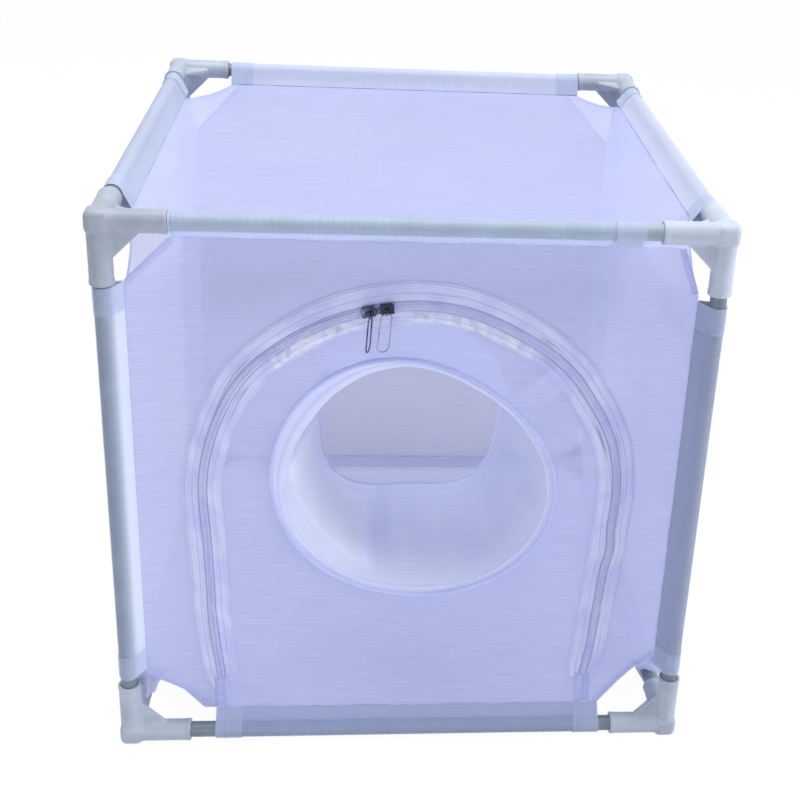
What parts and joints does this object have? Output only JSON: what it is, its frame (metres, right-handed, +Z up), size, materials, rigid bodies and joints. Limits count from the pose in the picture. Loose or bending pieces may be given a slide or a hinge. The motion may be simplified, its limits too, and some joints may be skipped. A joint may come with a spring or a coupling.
{
  "type": "butterfly habitat cage",
  "caption": "Cube-shaped insect cage: a netting box hung on a plastic tube frame with corner connectors, an arch-zipped front door and a round arm port with a cloth sleeve.",
  "frame": {"origin": "on the table under the middle of the cage, level with the undersides of the four lower corner connectors", "axes": "-Y to the front with the zip door, +X to the right seen from the front, +Z up"},
  "size_m": [0.4, 0.4, 0.4],
  "materials": {
    "tube": "satin",
    "connector": "satin",
    "pole_sleeve": "matte",
    "netting": "matte",
    "zip_tape": "matte",
    "zip_coil": "satin",
    "hem": "matte",
    "pull_metal": "satin"
  },
  "bodies": {
    "cage": {"tube_front_bottom": "tube", "tube_front_top": "tube", "tube_back_bottom": "tube", "tube_back_top": "tube", "tube_left_bottom": "tube", "tube_left_top": "tube", "tube_right_bottom": "tube", "tube_right_top": "tube", "tube_front_left": "tube", "tube_front_right": "tube", "tube_back_left": "tube", "tube_back_right": "tube", "connector_front_bottom_left": "connector", "connector_front_bottom_right": "connector", "connector_front_top_left": "connector", "connector_front_top_right": "connector", "connector_back_bottom_left": "connector", "connector_back_bottom_right": "connector", "connector_back_top_left": "connector", "connector_back_top_right": "connector", "pole_sleeve_front_bottom": "pole_sleeve", "pole_sleeve_front_top": "pole_sleeve", "pole_sleeve_back_bottom": "pole_sleeve", "pole_sleeve_back_top": "pole_sleeve", "pole_sleeve_left_bottom": "pole_sleeve", "pole_sleeve_left_top": "pole_sleeve", "pole_sleeve_right_bottom": "pole_sleeve", "pole_sleeve_right_top": "pole_sleeve", "pole_sleeve_front_left": "pole_sleeve", "pole_sleeve_front_right": "pole_sleeve", "pole_sleeve_back_left": "pole_sleeve", "pole_sleeve_back_right": "pole_sleeve", "front_panel": "netting", "back_panel": "netting", "left_panel": "netting", "right_panel": "netting", "top_panel": "netting", "floor_panel": "netting", "frame_zip_tape": "zip_tape", "frame_zip_coil": "zip_coil"},
    "door": {"door_panel": "netting", "door_zip_tape": "zip_tape", "door_zip_coil": "zip_coil", "port_hem": "hem", "arm_sleeve": "netting"},
    "cuff": {"cuff_hem": "hem"},
    "slider_left": {"slider_left": "pull_metal"},
    "pull_link_left": {"pull_link_left": "pull_metal"},
    "pull_loop_left": {"pull_loop_left": "pull_metal"},
    "slider_right": {"slider_right": "pull_metal"},
    "pull_link_right": {"pull_link_right": "pull_metal"},
    "pull_loop_right": {"pull_loop_right": "pull_metal"}
  },
  "joints": [
    {"name": "door_hinge", "type": "hinge", "parent": "cage", "child": "door", "pos_m": [0, -0.17885, 0.041], "axis": [1, 0, 0], "range_deg": [0, 95]},
    {"name": "cuff_slide", "type": "slide", "parent": "door", "child": "cuff", "axis": [0, -1, 0], "range_m": [0, 0.22], "deforming": ["arm_sleeve"]},
    {"name": "zip_left", "type": "hinge", "parent": "door", "child": "slider_left", "pos_m": [0.0015, -0.1785, 0.194], "axis": [0, -1, 0], "range_deg": [0, 80.7]},
    {"name": "pull_lift_left", "type": "hinge", "parent": "slider_left", "child": "pull_link_left", "pos_m": [-0.02983, -0.18465, 0.33045], "axis": [-0.9746, 0, -0.2238], "range_deg": [-5, 140]},
    {"name": "pull_swing_left", "type": "hinge", "parent": "pull_link_left", "child": "pull_loop_left", "pos_m": [-0.02908, -0.18465, 0.32718], "axis": [0, 1, 0], "range_deg": [-2, 77]},
    {"name": "zip_right", "type": "hinge", "parent": "door", "child": "slider_right", "pos_m": [0.0015, -0.1785, 0.194], "axis": [0, 1, 0], "range_deg": [0, 102.1]},
    {"name": "pull_lift_right", "type": "hinge", "parent": "slider_right", "child": "pull_link_right", "pos_m": [-0.01922, -0.18465, 0.33246], "axis": [-0.989, 0, -0.148], "range_deg": [-5, 140]},
    {"name": "pull_swing_right", "type": "hinge", "parent": "pull_link_right", "child": "pull_loop_right", "pos_m": [-0.01873, -0.18465, 0.32915], "axis": [0, -1, 0], "range_deg": [-2, 98]}
  ]
}
